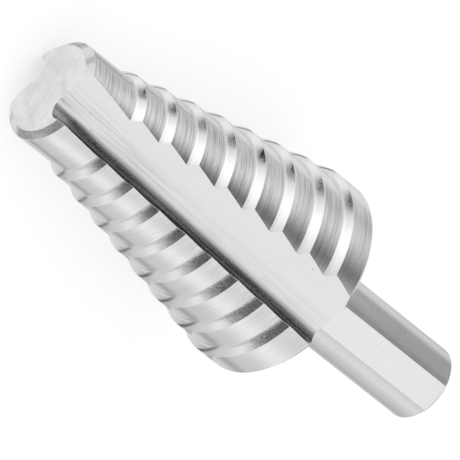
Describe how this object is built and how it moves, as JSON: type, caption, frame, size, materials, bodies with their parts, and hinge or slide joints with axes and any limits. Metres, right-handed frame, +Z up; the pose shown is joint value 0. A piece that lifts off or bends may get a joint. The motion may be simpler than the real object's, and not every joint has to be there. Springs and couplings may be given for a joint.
{
  "type": "step drill",
  "caption": "Stepped drill bit with two straight flutes, a flat tip and a round shank with flats for a drill chuck.",
  "frame": {"origin": "centre of the footprint box of the drill as it lies at rest, on the surface it lies on", "axes": "+X runs along the drill from the tip to the shank, seen from above; +Z is up; the drill's own axis rises 9.54 degrees from +X towards the shank"},
  "size_m": [0.0654, 0.0254, 0.0247],
  "materials": {
    "steel": "bright ground tool steel, fine grinding lines"
  },
  "bodies": {
    "root": {"step_drill": "steel"}
  },
  "joints": []
}
